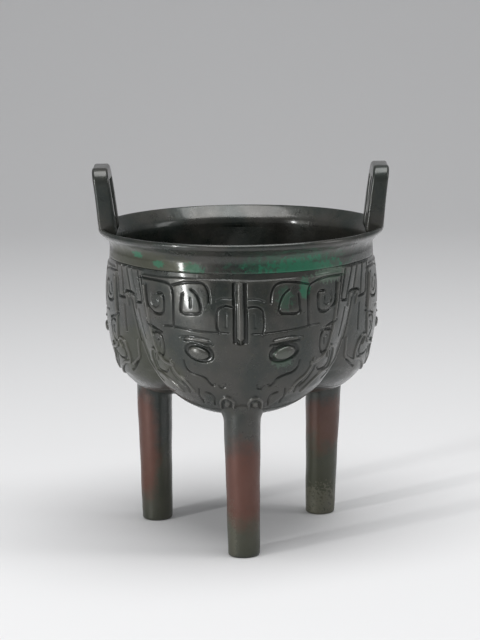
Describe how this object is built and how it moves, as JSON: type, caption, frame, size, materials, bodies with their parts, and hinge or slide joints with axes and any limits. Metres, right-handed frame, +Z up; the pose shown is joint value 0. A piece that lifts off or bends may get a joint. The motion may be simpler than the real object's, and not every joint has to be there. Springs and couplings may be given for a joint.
{
  "type": "bronze ding vessel",
  "caption": "Cast bronze tripod cooking vessel with a lobed bowl, round legs, upright handles on the rim and raised animal-mask bands round the body.",
  "frame": {"origin": "centre of the underside of the bounding box, on the ground plane that the three feet stand on, under the middle of the mouth", "axes": "+Z up; one lobe and its leg face -Y; the two upright handles stand on the rim at -X and +X"},
  "size_m": [0.1708, 0.1656, 0.2172],
  "materials": {
    "bronze": "dark green-black patinated cast bronze, half gloss, with malachite and red-brown stains"
  },
  "bodies": {
    "root": {"ding_vessel": "bronze"}
  },
  "joints": []
}
